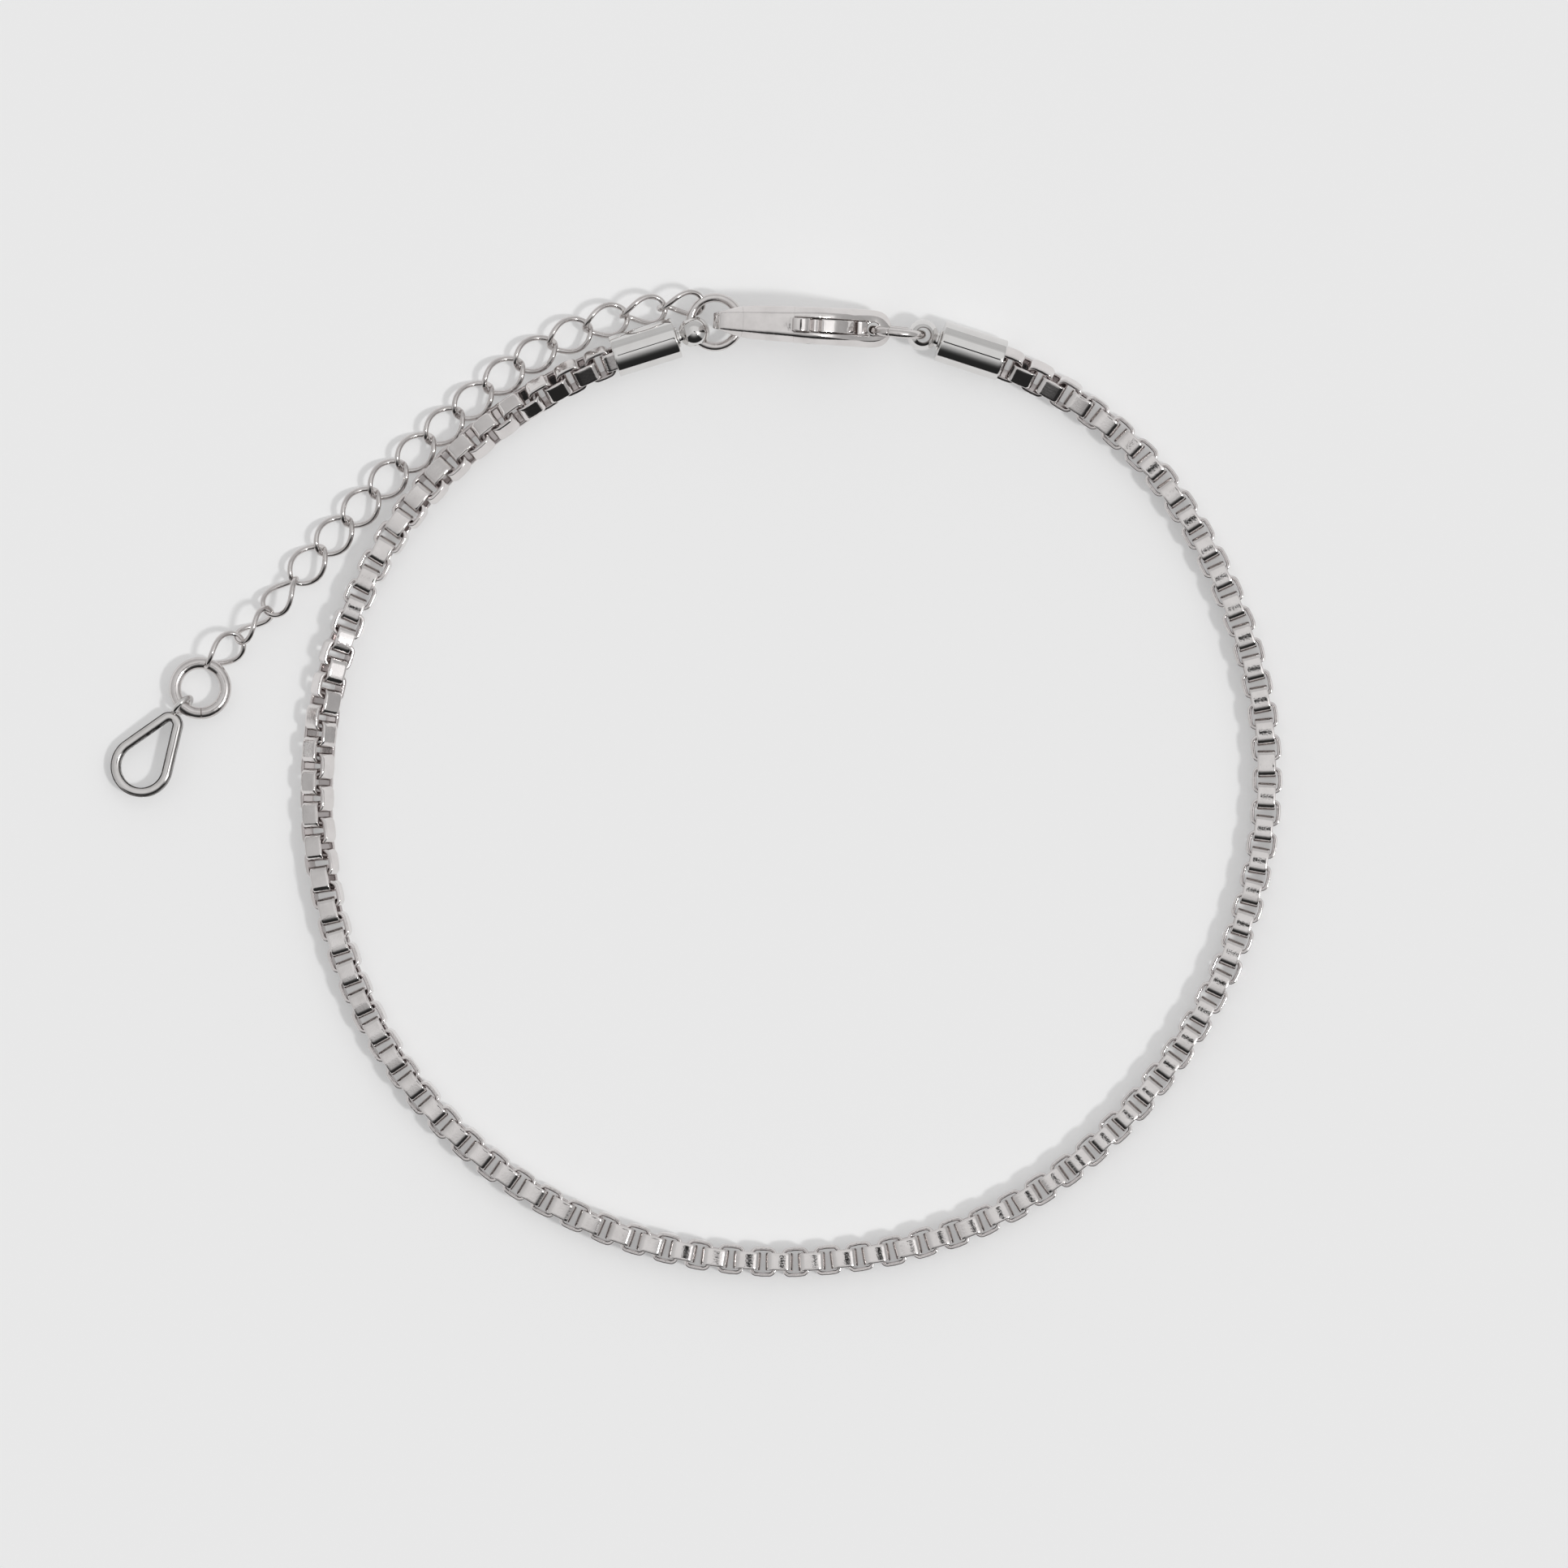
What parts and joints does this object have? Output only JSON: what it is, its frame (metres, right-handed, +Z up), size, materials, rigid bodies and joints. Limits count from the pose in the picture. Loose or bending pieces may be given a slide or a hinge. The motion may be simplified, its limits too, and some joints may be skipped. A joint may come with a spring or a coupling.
{
  "type": "chain anklet",
  "caption": "Polished box-chain anklet lying open in a ring, with turned end caps, lobster clasp, fine extender chain and open teardrop charm.",
  "frame": {"origin": "under the middle of the whole anklet, on the surface it lies on", "axes": "+X along the anklet's longest extent, from the charm towards the far side of the loop; +Y towards the clasp; +Z up from the surface"},
  "size_m": [0.0913, 0.0767, 0.0064],
  "materials": {
    "chain_metal": "polished rhodium-plated steel strip with fine scratches",
    "cap_metal": "turned and mirror polished",
    "ring_metal": "polished round wire",
    "clasp_metal": "cast, tumbled and polished",
    "extender_metal": "polished fine wire",
    "charm_metal": "cast and polished with softened edges"
  },
  "bodies": {
    "anklet": {"box_chain": "chain_metal", "end_cap_left": "cap_metal", "end_cap_right": "cap_metal", "clasp_ring": "ring_metal", "tail_ring": "ring_metal", "clasp_body": "clasp_metal", "clasp_pin": "clasp_metal", "extender_chain": "extender_metal", "end_ring": "ring_metal", "charm": "charm_metal"},
    "lever": {"clasp_lever": "clasp_metal"}
  },
  "joints": [
    {"name": "lever_pivot", "type": "hinge", "parent": "anklet", "child": "lever", "pos_m": [0.00891, 0.0357, 0.0043], "axis": [-0.0506, -0.9987, 0], "range_deg": [0, 28], "stiffness_Nm_per_rad": 0.002, "springref_deg": -17.19}
  ]
}
